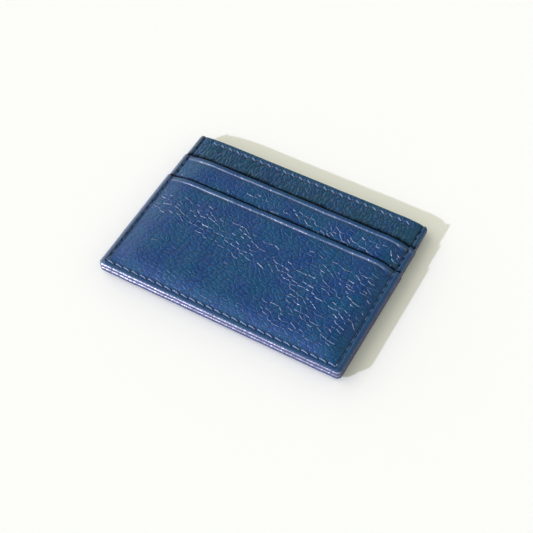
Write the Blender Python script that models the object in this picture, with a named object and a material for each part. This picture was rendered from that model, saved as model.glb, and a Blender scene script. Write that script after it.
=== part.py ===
"""Card holder with two card pockets on each side and an open-topped compartment between its halves.

Frame: metres, +Z up. The holder lies on its back with its front pockets up and its mouths towards +Y.
The origin is the middle of the face it lies on.

Each half is a stack of sheets that are sewn together near the left, right and bottom edges. The sheets
lie on each other in that sewn margin and rise away from each other inside it, where the cards go.
"""

import math
from collections import namedtuple

import bmesh
import bpy
from mathutils import Vector

MM = 0.001

# Outline of the leather, and the painted bead around its cut edge
BEAD_GAP = 0.04 * MM
BEAD_DEPTH = 0.31 * MM
BEAD_SHOULDER = 0.12
BEAD_SHOULDER_OUT = 0.6
HALF_WIDTH = 50.0 * MM - BEAD_GAP - BEAD_DEPTH
HALF_HEIGHT = 36.15 * MM - BEAD_GAP - BEAD_DEPTH
CORNER = 1.45 * MM
LOWER_LIP = 11.75 * MM
UPPER_LIP = 24.0 * MM
STEP_LENGTH = 0.6 * MM
STEP_IN = 0.20 * MM

# Stitching
STITCH_X = 47.5 * MM
STITCH_Y = 33.8 * MM
TOP_ROW_X = 43.6 * MM
BASE_ROW_Y = -19.0 * MM
BASE_ROW_X = 42.0 * MM
SEAM_THREAD = 0.22 * MM
BASE_THREAD = 0.13 * MM
THREAD_GAP = 0.05 * MM
LIP_SLOPE = 1.0 * MM

# Where the sheets leave the sewn margin, and where they are fully apart: a card is 85.6 mm by 54 mm
MARGIN_X = 46.6 * MM
CARD_X = 43.1 * MM
MARGIN_Y = 32.9 * MM
RAMP = 3.4 * MM

# Sheet thicknesses, and the air between sheets that touch
SHEET_GAP = 0.05 * MM
LINING = 0.12 * MM
POCKET_LINING = 0.10 * MM
BODY_LEATHER = 0.75 * MM
POCKET_LEATHER = 0.50 * MM
BOARD = 0.35 * MM
BASE_CHANNEL = 0.30 * MM
BASE_CHANNEL_HALF = 0.30 * MM

# How far the leather stands open at rest. The pockets lie nearly shut, and flex open for a card.
HALF_COMPARTMENT = 0.40 * MM
FRONT_DOME = 1.05 * MM
DOME_RAMP = 15.0 * MM
FRONT_ROOM = 0.10 * MM
BACK_ROOM = 0.02 * MM

# Heights above the middle plane, in the sewn margin
LINING_UNDER = 0.6 * SHEET_GAP
BODY_UNDER = LINING_UNDER + LINING + SHEET_GAP
UPPER_LINING_UNDER = BODY_UNDER + BODY_LEATHER + SHEET_GAP
UPPER_UNDER = UPPER_LINING_UNDER + POCKET_LINING + SHEET_GAP
LOWER_LINING_UNDER = UPPER_UNDER + POCKET_LEATHER + SHEET_GAP
LOWER_UNDER = LOWER_LINING_UNDER + POCKET_LINING + SHEET_GAP
HALF_SEAM = LOWER_UNDER + POCKET_LEATHER
BOARD_RISE = BOARD + SHEET_GAP
MIDDLE = HALF_SEAM + HALF_COMPARTMENT + BOARD_RISE + 2 * BACK_ROOM

COLLECTION = "card_holder"

# side is +1 for the half above the middle plane and -1 for the half below it
Half = namedtuple("Half", "name side room dome")
Looks = namedtuple("Looks", "leather lining board paint thread")
FRONT = Half("front", 1.0, FRONT_ROOM, FRONT_DOME)
BACK = Half("back", -1.0, BACK_ROOM, 0.0)


def remove_everything():
    for item in list(bpy.data.objects):
        bpy.data.objects.remove(item, do_unlink=True)


def material(name, colour, roughness):
    made = bpy.data.materials.new(name)
    made.use_nodes = True
    shader = made.node_tree.nodes["Principled BSDF"]
    shader.inputs["Base Color"].default_value = (*colour, 1.0)
    shader.inputs["Roughness"].default_value = roughness
    shader.inputs["Metallic"].default_value = 0.0
    made.diffuse_color = (*colour, 1.0)
    return made


def add_object(name, data, surface, collection):
    made = bpy.data.objects.new(name, data)
    made.data.materials.append(surface)
    collection.objects.link(made)
    return made


def smooth_step(t):
    t = min(max(t, 0.0), 1.0)
    return t * t * (3.0 - 2.0 * t)


def across(x):
    """0 in the sewn side margins and 1 over the width of a card."""
    return smooth_step((MARGIN_X - abs(x)) / (MARGIN_X - CARD_X))


def above(y, start):
    """0 up to start and 1 from one ramp further towards the mouths."""
    return smooth_step((y - start) / RAMP)


def opened(x, y):
    """The three-sided rise of a space that is closed at the bottom seam and open at its mouth."""
    return across(x) * above(y, -MARGIN_Y)


def boarded(x, y):
    """The four-sided rise of a leather panel over its stiffening board."""
    return opened(x, y) * above(-y, -MARGIN_Y)


def domed(x, y):
    """The rise of the puffed front half, which falls off towards the compartment's mouth."""
    return opened(x, y) * smooth_step((MARGIN_Y - y) / DOME_RAMP)


def lining_rise(x, y, half):
    return HALF_COMPARTMENT * opened(x, y) + half.dome * domed(x, y)


def body_rise(x, y, half):
    return lining_rise(x, y, half) + BOARD_RISE * boarded(x, y)


def upper_rise(x, y, half):
    return body_rise(x, y, half) + half.room * across(x) * above(y, BASE_ROW_Y + BASE_CHANNEL_HALF)


def lower_rise(x, y, half):
    return body_rise(x, y, half) + 2.0 * half.room * opened(x, y)


def narrowing(y):
    """How far the outline steps in beside each pocket mouth."""
    steps = smooth_step((y - LOWER_LIP) / STEP_LENGTH) + smooth_step((y - UPPER_LIP) / STEP_LENGTH)
    return STEP_IN * steps


def placed(x, y, half_width, low_y, high_y, corner):
    """A grid point of the outline's rectangle, moved so that the rectangle's corners are round."""
    side = math.copysign(1.0, x)
    u = (abs(x) - (half_width - corner)) / corner
    v = (y - (high_y - corner)) / corner
    end = 1.0
    if y < (low_y + high_y) / 2.0:
        v = ((low_y + corner) - y) / corner
        end = -1.0
    if u > 0.0 and v > 0.0:
        round_u = u * math.sqrt(1.0 - v * v / 2.0)
        round_v = v * math.sqrt(1.0 - u * u / 2.0)
        x = side * (half_width - corner + corner * round_u)
        corner_y = high_y - corner if end > 0.0 else low_y + corner
        y = corner_y + end * corner * round_v
    return x, y


def on_outline(x, y, high_y):
    """Where a point of a full-width sheet lies, with the round corners and the steps at the mouths."""
    top_corner = high_y >= HALF_HEIGHT - 1e-9
    reach = high_y if top_corner else high_y + CORNER
    new_x, new_y = placed(x, y, HALF_WIDTH, -HALF_HEIGHT, reach, CORNER)
    outer = max(abs(x) - MARGIN_X, 0.0) / (HALF_WIDTH - MARGIN_X)
    return new_x - math.copysign(narrowing(y) * outer, x), new_y


CORNER_MIDDLE = 0.55 * CORNER
HALF_COLUMNS = [
    HALF_WIDTH,
    HALF_WIDTH - CORNER_MIDDLE,
    HALF_WIDTH - CORNER,
    MARGIN_X,
    (MARGIN_X + CARD_X) / 2.0,
    CARD_X,
]
COLUMNS = [-x for x in HALF_COLUMNS] + HALF_COLUMNS[::-1]
ROWS = [
    -HALF_HEIGHT,
    -HALF_HEIGHT + CORNER_MIDDLE,
    -HALF_HEIGHT + CORNER,
    -MARGIN_Y,
    -MARGIN_Y + RAMP / 2.0,
    -MARGIN_Y + RAMP,
    BASE_ROW_Y - 2.0 * BASE_CHANNEL_HALF,
    BASE_ROW_Y - BASE_CHANNEL_HALF,
    BASE_ROW_Y + BASE_CHANNEL_HALF,
    BASE_ROW_Y + BASE_CHANNEL_HALF + RAMP / 2.0,
    BASE_ROW_Y + BASE_CHANNEL_HALF + RAMP,
    LOWER_LIP,
    LOWER_LIP + STEP_LENGTH,
    MARGIN_Y - DOME_RAMP,
    UPPER_LIP,
    UPPER_LIP + STEP_LENGTH,
    MARGIN_Y - RAMP,
    MARGIN_Y - RAMP / 2.0,
    MARGIN_Y,
    HALF_HEIGHT - CORNER,
    HALF_HEIGHT - CORNER_MIDDLE,
    HALF_HEIGHT,
]


def grid_solid(name, columns, rows, place, under, top, half, surface, collection):
    """A closed sheet over a grid of columns and rows, between the heights under(x, y) and top(x, y)."""
    shape = bmesh.new()
    wide = len(columns) - 1
    deep = len(rows) - 1
    bmesh.ops.create_grid(shape, x_segments=wide, y_segments=deep, size=1.0)
    spots = {}
    for vert in shape.verts:
        x = columns[round((vert.co.x + 1.0) / 2.0 * wide)]
        y = rows[round((vert.co.y + 1.0) / 2.0 * deep)]
        vert.co = Vector((*place(x, y), MIDDLE + half.side * under(x, y)))
        spots[tuple(vert.co)] = (x, y)
    bmesh.ops.triangulate(shape, faces=shape.faces[:], quad_method="FIXED")
    made = bmesh.ops.extrude_face_region(shape, geom=shape.faces[:], use_keep_orig=True)
    for vert in [item for item in made["geom"] if isinstance(item, bmesh.types.BMVert)]:
        vert.co.z = MIDDLE + half.side * top(*spots[tuple(vert.co)])
    bmesh.ops.recalc_face_normals(shape, faces=shape.faces[:])
    mesh = bpy.data.meshes.new(name)
    shape.to_mesh(mesh)
    shape.free()
    return add_object(name, mesh, surface, collection)


def sheet(part, half, base, rise, thickness, high_y, surface, collection, channel=0.0):
    """One full-width sheet of a half. A channel is pressed in its outer face along the base row."""
    rows = [y for y in ROWS if y <= high_y + 1e-9]

    def under(x, y):
        return base + rise(x, y, half)

    def top(x, y):
        in_row = abs(y - BASE_ROW_Y) < 1.5 * BASE_CHANNEL_HALF and abs(x) <= CARD_X + 1e-9
        return under(x, y) + thickness - (channel if in_row else 0.0)

    def place(x, y):
        return on_outline(x, y, high_y)

    return grid_solid(f"{half.name}_{part}", COLUMNS, rows, place, under, top, half, surface, collection)


def stiffening_board(half, surface, collection):
    """The board between the lining and the leather of a half. It follows the dome."""
    columns = [x for x in COLUMNS if abs(x) <= CARD_X + 1e-9]
    rows = [y for y in ROWS if abs(y) <= MARGIN_Y - RAMP + 1e-9]

    def under(x, y):
        return BODY_UNDER + lining_rise(x, y, half)

    def top(x, y):
        return under(x, y) + BOARD

    def place(x, y):
        return x, y

    return grid_solid(f"{half.name}_board", columns, rows, place, under, top, half, surface, collection)


def stack_top(x, y, half):
    """The height of the outermost sheet of a half above the middle plane."""
    if y <= LOWER_LIP + 1e-9:
        return LOWER_UNDER + POCKET_LEATHER + lower_rise(x, y, half)
    if y <= UPPER_LIP + 1e-9:
        return UPPER_UNDER + POCKET_LEATHER + upper_rise(x, y, half)
    return BODY_UNDER + BODY_LEATHER + body_rise(x, y, half)


def outline_points():
    """The grid points around the full outline, anticlockwise from the bottom left corner."""
    bottom = [(x, ROWS[0]) for x in COLUMNS[:-1]]
    right = [(COLUMNS[-1], y) for y in ROWS[:-1]]
    top = [(x, ROWS[-1]) for x in COLUMNS[:0:-1]]
    left = [(COLUMNS[0], y) for y in ROWS[:0:-1]]
    return bottom + right + top + left


def edge_bead(half, surface, collection):
    """The bead of edge paint around one half: a D-shaped section carried around the outline."""
    grid = outline_points()
    path = [Vector(on_outline(x, y, HALF_HEIGHT)) for x, y in grid]
    shape = bmesh.new()
    rings = []
    for here, spot in enumerate(path):
        before = (spot - path[here - 1]).normalized()
        after = (path[(here + 1) % len(path)] - spot).normalized()
        along = (before + after).normalized()
        outward = Vector((along.y, -along.x)) / max(along.dot(after), 0.5)
        x, y = grid[here]
        low = LINING_UNDER + lining_rise(x, y, half)
        high = stack_top(x, y, half)
        shoulder = BEAD_SHOULDER * (high - low)
        section = [
            (BEAD_GAP, low),
            (BEAD_GAP + BEAD_SHOULDER_OUT * BEAD_DEPTH, low + shoulder),
            (BEAD_GAP + BEAD_DEPTH, (low + high) / 2.0),
            (BEAD_GAP + BEAD_SHOULDER_OUT * BEAD_DEPTH, high - shoulder),
            (BEAD_GAP, high),
        ]
        rings.append(
            [shape.verts.new((*(spot + outward * out), MIDDLE + half.side * up)) for out, up in section]
        )
    for here, ring in enumerate(rings):
        following = rings[(here + 1) % len(rings)]
        for corner in range(len(ring)):
            other = (corner + 1) % len(ring)
            shape.faces.new((ring[corner], following[corner], following[other], ring[other]))
    bmesh.ops.triangulate(shape, faces=shape.faces[:])
    bmesh.ops.recalc_face_normals(shape, faces=shape.faces[:])
    mesh = bpy.data.meshes.new(f"{half.name}_edge_paint")
    shape.to_mesh(mesh)
    shape.free()
    return add_object(f"{half.name}_edge_paint", mesh, surface, collection)


def cord(name, points, radius, surface, collection):
    """A round thread along a list of points."""
    data = bpy.data.curves.new(name, "CURVE")
    data.dimensions = "3D"
    data.bevel_depth = radius
    data.bevel_resolution = 1
    data.use_fill_caps = True
    line = data.splines.new("POLY")
    line.points.add(len(points) - 1)
    for point, place in zip(line.points, points):
        point.co = (*place, 1.0)
    return add_object(name, data, surface, collection)


def seam_thread(name, half, surface, collection):
    """The row down the left side, along the bottom and up the right side, over both pocket mouths."""
    lift = SEAM_THREAD + THREAD_GAP
    turn = 4.0 * SEAM_THREAD
    over_lip = SEAM_THREAD + 2.0 * THREAD_GAP
    spots = [(-STITCH_Y + turn, -STITCH_Y)]
    for lip in (LOWER_LIP, UPPER_LIP):
        spots.append((lip + over_lip, lip))
        spots.append((lip + over_lip + LIP_SLOPE, lip + LIP_SLOPE))
    spots.append((STITCH_Y, STITCH_Y))
    right = [(STITCH_X, y, stack_top(STITCH_X, level, half) + lift) for y, level in spots]
    bottom = [(STITCH_X - turn, -STITCH_Y, stack_top(STITCH_X, -STITCH_Y, half) + lift)]
    right_half = bottom + right
    left_half = [(-x, y, up) for x, y, up in right_half]
    points = [(x, y, MIDDLE + half.side * up) for x, y, up in left_half[::-1] + right_half]
    return cord(name, points, SEAM_THREAD, surface, collection)


def top_row_thread(half, surface, collection):
    """The row along the top edge of a body panel."""
    inner = [x for x in COLUMNS if abs(x) <= CARD_X + 1e-9]
    lift = SEAM_THREAD + THREAD_GAP
    points = [
        (x, STITCH_Y, MIDDLE + half.side * (stack_top(x, STITCH_Y, half) + lift))
        for x in [-TOP_ROW_X, *inner, TOP_ROW_X]
    ]
    return cord(f"{half.name}_top_thread", points, SEAM_THREAD, surface, collection)


def base_row_thread(half, surface, collection):
    """The hidden row that sews an upper pocket to its body panel and stops its card."""
    floor = UPPER_UNDER + body_rise(0.0, BASE_ROW_Y, half) + POCKET_LEATHER - BASE_CHANNEL
    height = MIDDLE + half.side * (floor + BASE_THREAD + THREAD_GAP / 2.0)
    points = [(x, BASE_ROW_Y, height) for x in (-BASE_ROW_X, 0.0, BASE_ROW_X)]
    return cord(f"{half.name}_pocket_base_thread", points, BASE_THREAD, surface, collection)


def build_half(half, looks, collection):
    """All the sheets, the board, the bead and the rows of one half."""
    leather, lining = looks.leather, looks.lining
    sheet("body_lining", half, LINING_UNDER, lining_rise, LINING, HALF_HEIGHT, lining, collection)
    stiffening_board(half, looks.board, collection)
    sheet("body_panel", half, BODY_UNDER, body_rise, BODY_LEATHER, HALF_HEIGHT, leather, collection)
    sheet(
        "upper_pocket_lining", half, UPPER_LINING_UNDER, upper_rise, POCKET_LINING,
        UPPER_LIP, lining, collection,
    )
    sheet(
        "upper_pocket", half, UPPER_UNDER, upper_rise, POCKET_LEATHER,
        UPPER_LIP, leather, collection, BASE_CHANNEL,
    )
    sheet(
        "lower_pocket_lining", half, LOWER_LINING_UNDER, lower_rise, POCKET_LINING,
        LOWER_LIP, lining, collection,
    )
    sheet("lower_pocket", half, LOWER_UNDER, lower_rise, POCKET_LEATHER, LOWER_LIP, leather, collection)
    edge_bead(half, looks.paint, collection)
    top_row_thread(half, looks.thread, collection)
    base_row_thread(half, looks.thread, collection)


def build():
    remove_everything()
    collection = bpy.data.collections.new(COLLECTION)
    bpy.context.scene.collection.children.link(collection)
    looks = Looks(
        leather=material("leather", (0.007, 0.063, 0.180), 0.4),
        lining=material("lining", (0.020, 0.035, 0.075), 0.85),
        board=material("board", (0.36, 0.30, 0.22), 0.9),
        paint=material("edge_paint", (0.008, 0.020, 0.090), 0.25),
        thread=material("thread", (0.130, 0.200, 0.400), 0.45),
    )
    for half in (FRONT, BACK):
        build_half(half, looks, collection)
    seam_thread("seam_needle_thread", FRONT, looks.thread, collection)
    seam_thread("seam_bobbin_thread", BACK, looks.thread, collection)


build()
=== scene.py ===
"""The looks of the card holder: pebbled navy leather, creased lips, lockstitching and painted edges.

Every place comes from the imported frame. Lengths are in metres; MM turns millimetres into metres.
A sheet is a leather, lining or board layer. Its shape is a height over the (x, y) outline, measured
outwards from the middle plane between the two halves, so the same code builds the front and the back.
"""

import math

import bpy
import numpy as np
from mathutils import Matrix, Vector


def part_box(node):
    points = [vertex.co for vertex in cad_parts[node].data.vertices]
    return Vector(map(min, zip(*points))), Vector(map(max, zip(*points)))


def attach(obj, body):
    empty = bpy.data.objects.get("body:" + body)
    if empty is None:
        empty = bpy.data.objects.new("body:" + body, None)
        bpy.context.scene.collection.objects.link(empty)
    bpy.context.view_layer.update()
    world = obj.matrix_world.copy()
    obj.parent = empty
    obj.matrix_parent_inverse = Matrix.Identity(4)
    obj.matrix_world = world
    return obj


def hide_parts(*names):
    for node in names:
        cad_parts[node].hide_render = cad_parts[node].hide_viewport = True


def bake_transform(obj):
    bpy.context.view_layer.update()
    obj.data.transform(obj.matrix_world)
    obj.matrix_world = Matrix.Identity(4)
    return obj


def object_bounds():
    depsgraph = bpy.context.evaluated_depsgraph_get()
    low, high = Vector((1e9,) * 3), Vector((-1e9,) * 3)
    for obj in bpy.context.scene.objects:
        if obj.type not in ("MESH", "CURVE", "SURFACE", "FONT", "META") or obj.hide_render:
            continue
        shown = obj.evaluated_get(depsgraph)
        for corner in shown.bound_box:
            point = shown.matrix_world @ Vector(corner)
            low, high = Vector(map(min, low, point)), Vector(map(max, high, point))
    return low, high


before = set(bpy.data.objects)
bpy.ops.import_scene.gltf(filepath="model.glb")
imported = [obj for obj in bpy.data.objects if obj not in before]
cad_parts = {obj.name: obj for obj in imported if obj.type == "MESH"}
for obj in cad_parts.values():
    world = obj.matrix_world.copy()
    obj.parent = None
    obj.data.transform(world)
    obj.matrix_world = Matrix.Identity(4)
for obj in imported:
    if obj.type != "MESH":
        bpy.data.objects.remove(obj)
cad_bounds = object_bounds()

MM = 0.001
UP = Vector((0.0, 0.0, 1.0))
SIDES = {"front": 1.0, "back": -1.0}

# ---- places, from the frame

FRONT_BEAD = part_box("front_edge_paint")
BACK_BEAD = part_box("back_edge_paint")
MIDDLE = (FRONT_BEAD[0].z + BACK_BEAD[1].z) / 2.0
HALF_SEAM = FRONT_BEAD[1].z - MIDDLE
LOWER_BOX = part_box("front_lower_pocket")
HALF_WIDTH = LOWER_BOX[1].x
BOTTOM = LOWER_BOX[0].y
LOWER_LIP = LOWER_BOX[1].y
UPPER_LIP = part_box("front_upper_pocket")[1].y
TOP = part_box("front_body_panel")[1].y
FRAME_THREAD = 0.22 * MM
TOP_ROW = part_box("front_top_thread")[1]
STITCH_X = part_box("seam_needle_thread")[1].x - FRAME_THREAD
STITCH_Y = TOP_ROW.y - FRAME_THREAD
TOP_ROW_X = TOP_ROW.x
FRONT_FULL_RISE = LOWER_BOX[1].z - FRONT_BEAD[1].z
BACK_FULL_RISE = BACK_BEAD[0].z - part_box("back_lower_pocket")[0].z
BEAD_OUT = FRONT_BEAD[1].x - HALF_WIDTH

# The flat outline and the stack in its sewn margin
SHEET_GAP = 0.05 * MM
CORNER = 1.45 * MM
STEP_LENGTH = 0.6 * MM
STEP_IN = 0.20 * MM
EDGE_DROP = 0.36 * MM
EDGE_ROUND = 1.4 * MM
MARGIN_END = STITCH_X - 0.9 * MM

# The stitch rows: pitch, thread radius, and how wide and deep they press the leather in
PITCH = 3.5 * MM
THREAD = 0.24 * MM
CHANNEL_WIDTH = 0.47 * MM
DIMPLE = 0.28 * MM
TOP_CHANNEL = 0.16 * MM
TOP_DIMPLE = 0.30 * MM
PUCKER_WIDTH = 0.33 * MM
PUCKER_LENGTH = 5.5 * MM

# The turned lip of a pocket: the width of its raised band and the depth of the crease below it
LIP_BAND = 1.55 * MM
LIP_CREASE = 0.38 * MM
LIP_NOSE = 0.40 * MM

# Grid steps: open leather, the strip at a lip, and the hidden inner faces
FINE = 0.28 * MM
LIP_FINE = 0.11 * MM
LIP_ZONE = 3.0 * MM
COARSE = 1.6 * MM

# How much thicker the leather is where it shows between two mouths than in the sewn stack
BODY_EXTRA = 0.42 * MM
UPPER_EXTRA = 0.24 * MM
BOARD_ROOM = 0.34 * MM

LAYERS = (
    "body_lining", "body_panel",
    "upper_pocket_lining", "upper_pocket",
    "lower_pocket_lining", "lower_pocket",
)
LIPS = {"body": TOP, "upper": UPPER_LIP, "lower": LOWER_LIP}
COVERED_FROM = {"body": UPPER_LIP, "upper": LOWER_LIP, "lower": None}


def level(half, node):
    """How far out from the middle plane the inner face of a sheet lies in the sewn margin."""
    low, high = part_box(f"{half}_{node}")
    return low.z - MIDDLE if half == "front" else MIDDLE - high.z


def sheet_span(half, node):
    """The inner and outer level of a sheet in the sewn margin."""
    place = LAYERS.index(node)
    inner = level(half, node)
    outer = HALF_SEAM if node == LAYERS[-1] else level(half, LAYERS[place + 1]) - SHEET_GAP
    return inner, outer


# ---- shape formulas, on numpy arrays


def clamp(t):
    return np.clip(t, 0.0, 1.0)


def smooth(t):
    """0 below 0, 1 above 1, and level at both ends."""
    t = clamp(t)
    return t * t * (3.0 - 2.0 * t)


def fade(distance, width):
    """0 before a line and 1 past it, over a width in mm."""
    return smooth(distance / (width * MM))


def quarter_round(t):
    """The drop of a quarter circle of radius 1: 0 at its flat end, 1 at its steep end."""
    return 1.0 - np.sqrt(np.maximum(1.0 - t * t, 0.0))


def swell(t):
    """Leaves the seam at a slope and flattens out, as stretched leather does."""
    t = clamp(t)
    return 1.0 - (1.0 - t) ** 2.2


def bell(distance, width):
    """1 at no distance, falling off to both sides."""
    return np.exp(-((distance / width) ** 2))


def waves(x, y, size, seed):
    """A smooth deterministic unevenness between about -1 and 1, with features of the given size."""
    rng = np.random.default_rng(seed)
    total = np.zeros_like(x)
    for _ in range(7):
        angle = rng.uniform(0.0, 2.0 * math.pi)
        rate = rng.uniform(0.6, 1.5) * 2.0 * math.pi / size
        phase = rng.uniform(0.0, 2.0 * math.pi)
        total += np.sin(rate * (math.cos(angle) * x + math.sin(angle) * y) + phase)
    return total / 3.0


def hump(x, y):
    """The three-sided puff: 0 in the sewn margins, 1 in the middle and at the mouths."""
    left = swell((x + MARGIN_END) / (13.0 * MM))
    right = swell((MARGIN_END - x) / (8.5 * MM))
    bottom = swell((y + STITCH_Y - 0.9 * MM) / (6.5 * MM))
    return left * right * bottom


def front_rise(x, y):
    mouth = 0.36
    share = mouth + (1.0 - mouth) * fade(STITCH_Y - y, 17.0)
    uneven = 1.0 + 0.05 * waves(x, y, 26.0 * MM, 5) + 0.03 * waves(x, y, 11.0 * MM, 6)
    return FRONT_FULL_RISE * hump(x, y) * share * uneven


def back_rise(x, y):
    uneven = 0.96 + 0.04 * waves(x, y, 30.0 * MM, 8)
    return BACK_FULL_RISE * np.minimum(hump(x, y) * uneven, 1.0)


RISES = {"front": front_rise, "back": back_rise}


def narrowing(y):
    """How far the outline steps in beside each pocket mouth."""
    return STEP_IN * (smooth((y - LOWER_LIP) / STEP_LENGTH) + smooth((y - UPPER_LIP) / STEP_LENGTH))


def on_outline(x, y, top_corners):
    """Grid points of the rectangle, moved on to the real outline: round corners, steps at the mouths."""
    u = clamp((np.abs(x) - (HALF_WIDTH - CORNER)) / CORNER)
    v_low = clamp(((BOTTOM + CORNER) - y) / CORNER)
    v_high = clamp((y - (TOP - CORNER)) / CORNER) if top_corners else 0.0 * y
    v = np.maximum(v_low, v_high)
    shrink_x = u * (np.sqrt(1.0 - v * v / 2.0) - 1.0) * CORNER
    shrink_y = v * (np.sqrt(1.0 - u * u / 2.0) - 1.0) * CORNER
    outer = clamp((np.abs(x) - MARGIN_END) / (HALF_WIDTH - MARGIN_END))
    new_x = x + np.sign(x) * (shrink_x - narrowing(y) * outer)
    new_y = y + np.where(v_low > v_high, -shrink_y, shrink_y)
    return new_x, new_y


def seam_distance(x, y):
    """Distance to the U-shaped perimeter row, without regard to which side of it."""
    side = np.abs(np.abs(x) - STITCH_X) + np.maximum(-STITCH_Y - y, 0.0)
    base = np.abs(y + STITCH_Y) + np.maximum(np.abs(x) - STITCH_X, 0.0)
    return np.minimum(side, base)


def stitches(holes, shown, slant):
    """The two ends of each stitch of a row, where it dives into the leather."""
    found = []
    for start, end in zip(holes[:-1], holes[1:]):
        a, b = np.array(start), np.array(end)
        length = np.linalg.norm(b - a)
        along = (b - a) / length
        across = np.array([-along[1], along[0]])
        middle = (a + b) / 2.0
        reach = along * shown * length / 2.0 - across * slant / 2.0
        found.append((middle - reach, middle + reach))
    return found


def seam_stitches():
    """The perimeter row, from the top left round the bottom to the top right."""
    down = np.arange(STITCH_Y - 1.2 * MM, -STITCH_Y + 0.5 * PITCH, -PITCH)
    along = np.linspace(-STITCH_X, STITCH_X, round(2.0 * STITCH_X / PITCH) + 1)
    left = [(-STITCH_X, y) for y in down]
    bottom = [(x, -STITCH_Y) for x in along]
    right = [(STITCH_X, y) for y in down[::-1]]
    return stitches(left + bottom + right, 0.74, 0.40 * MM)


def top_stitches():
    """The row along the top edge: short slanted stitches."""
    steps = round(2.0 * TOP_ROW_X / PITCH)
    holes = [(x, STITCH_Y) for x in np.linspace(-TOP_ROW_X, TOP_ROW_X, steps + 1)]
    return stitches(holes, 0.48, 0.85 * MM)


SEAM_STITCHES = seam_stitches()
TOP_STITCHES = top_stitches()
TOP_LINKS = [(here[1], after[0]) for here, after in zip(TOP_STITCHES[:-1], TOP_STITCHES[1:])]


def shown_extra(x, y):
    """The extra thickness at the surface, by which strip of leather shows there."""
    body = fade(y - UPPER_LIP - 0.1 * MM, 0.4)
    upper = fade(y - LOWER_LIP - 0.1 * MM, 0.4) * (1.0 - body)
    thinning = 1.0 - smooth((y - UPPER_LIP - 2.0 * MM) / (TOP - UPPER_LIP - 2.0 * MM))
    return BODY_EXTRA * body * thinning + UPPER_EXTRA * upper


def spots(x, y, places, size, reach):
    """A round mark at each place, 1 in its middle; marks do not add up."""
    total = 0.0 * x
    for spot_x, spot_y in places:
        near = (np.abs(x - spot_x) < reach) & (np.abs(y - spot_y) < reach)
        if near.any():
            mark = bell(np.hypot(x[near] - spot_x, y[near] - spot_y), size)
            total[near] = np.maximum(total[near], mark)
    return total


def ridges(x, y, segments, width):
    """A narrow mark along each segment, 1 on it."""
    reach = 3.0 * MM
    total = 0.0 * x
    for start, end in segments:
        near = (np.abs(x - start[0]) < reach) & (np.abs(y - start[1]) < reach)
        if near.any():
            run = end - start
            to_x, to_y = x[near] - start[0], y[near] - start[1]
            share = clamp((to_x * run[0] + to_y * run[1]) / (run @ run))
            away = np.hypot(to_x - share * run[0], to_y - share * run[1])
            total[near] = np.maximum(total[near], bell(away, width))
    return total


def side_row(x, y):
    """1 along the two upright runs of the perimeter row, 0 along the bottom run."""
    beside = fade(np.abs(x) - STITCH_X + 1.5 * MM, 1.0)
    return beside * fade(y + STITCH_Y - 0.3 * MM, 1.5)


def all_ends(row):
    return [end for pair in row for end in pair]


def puckers(x, y):
    """The folds that run down from the stitches of the top row, each a little different."""
    depth = 0.0 * x
    for number, (_, low_end) in enumerate(TOP_STITCHES):
        near = (np.abs(x - low_end[0]) < 1.8 * MM) & (np.abs(y - low_end[1]) < 8.0 * MM)
        if near.any():
            across, up = x[near] - low_end[0], y[near] - low_end[1]
            bend = 0.45 * MM * math.sin(2.3 * number) * np.clip(-up / (3.0 * MM), 0.0, 2.0)
            fall = np.where(up < 0.0, np.exp(up / PUCKER_LENGTH), bell(up, 0.5 * MM))
            strength = 0.20 + 0.07 * math.sin(5.1 * number)
            depth[near] += strength * MM * bell(across - bend, PUCKER_WIDTH) * fall
    return depth


def stitch_marks(x, y, with_top_row):
    """How far the stitches press the leather in: a channel along a row, a dimple where each dives."""
    channel = (0.20 + 0.34 * side_row(x, y)) * MM
    depth = channel * bell(seam_distance(x, y), CHANNEL_WIDTH)
    depth += DIMPLE * spots(x, y, all_ends(SEAM_STITCHES), 0.40 * MM, 1.5 * MM)
    if with_top_row:
        inside = fade(TOP_ROW_X + 0.5 * MM - np.abs(x), 1.0)
        depth += TOP_CHANNEL * bell(y - STITCH_Y, 0.8 * MM) * inside
        depth -= TOP_CHANNEL * ridges(x, y, TOP_LINKS, 0.24 * MM)
        depth += TOP_DIMPLE * spots(x, y, all_ends(TOP_STITCHES), 0.42 * MM, 1.5 * MM)
        depth += puckers(x, y)
    return depth


def lip_shape(x, below):
    """The turned edge of a pocket mouth: a rounded lip, a raised band and the crease below it."""
    left_end = fade(x + STITCH_X - 2.0 * MM, 4.5)
    right_end = fade(STITCH_X - 1.2 * MM - x, 3.0)
    roll = -0.32 * MM * quarter_round(clamp(1.0 - below / LIP_NOSE))
    wander = 0.08 * MM * np.sin(x / (7.0 * MM)) + 0.04 * MM * np.sin(x / (2.3 * MM) + 1.0)
    turn_down = 1.1 * MM * (1.0 - fade(STITCH_X - 1.0 * MM - np.abs(x), 4.5))
    past = below - LIP_BAND - (wander + turn_down)
    band = 0.14 * MM * fade(-past, 0.8)
    wall = -LIP_CREASE * fade(past + 0.05 * MM, 0.50)
    back_up = LIP_CREASE * fade(past - 0.48 * MM, 1.5)
    return roll + (band + wall + back_up) * left_end * right_end


def gloss_and_highlight_share(x, y, lip):
    """Where the leather is glossier from handling and also painted lighter as a highlight: the rims, most
    the left one as a painted reflection, the lips, and between the top row's stitches.
    """
    rim = fade(np.maximum(np.abs(x) - STITCH_X, -STITCH_Y - y) - 0.2 * MM, 0.8)
    # Much more on the left rim, which faces the bright window: a painted reflection.
    share = (0.15 + 0.75 * (x < -STITCH_X)) * rim
    if lip == TOP:
        return np.maximum(share, 0.8 * ridges(x, y, TOP_LINKS, 0.20 * MM))
    patchy = np.clip(0.65 + 0.45 * waves(x, y, 11.0 * MM, 12), 0.3, 1.0)
    return np.maximum(share, bell(lip - y - 1.8 * MM, 0.42 * MM) * patchy)


def uncovered(y, covered_from, early):
    """1 where no pocket hides the leather, 0 from a short way behind the next lip."""
    return 1.0 if covered_from is None else fade(y - covered_from + early, 0.5)


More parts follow.
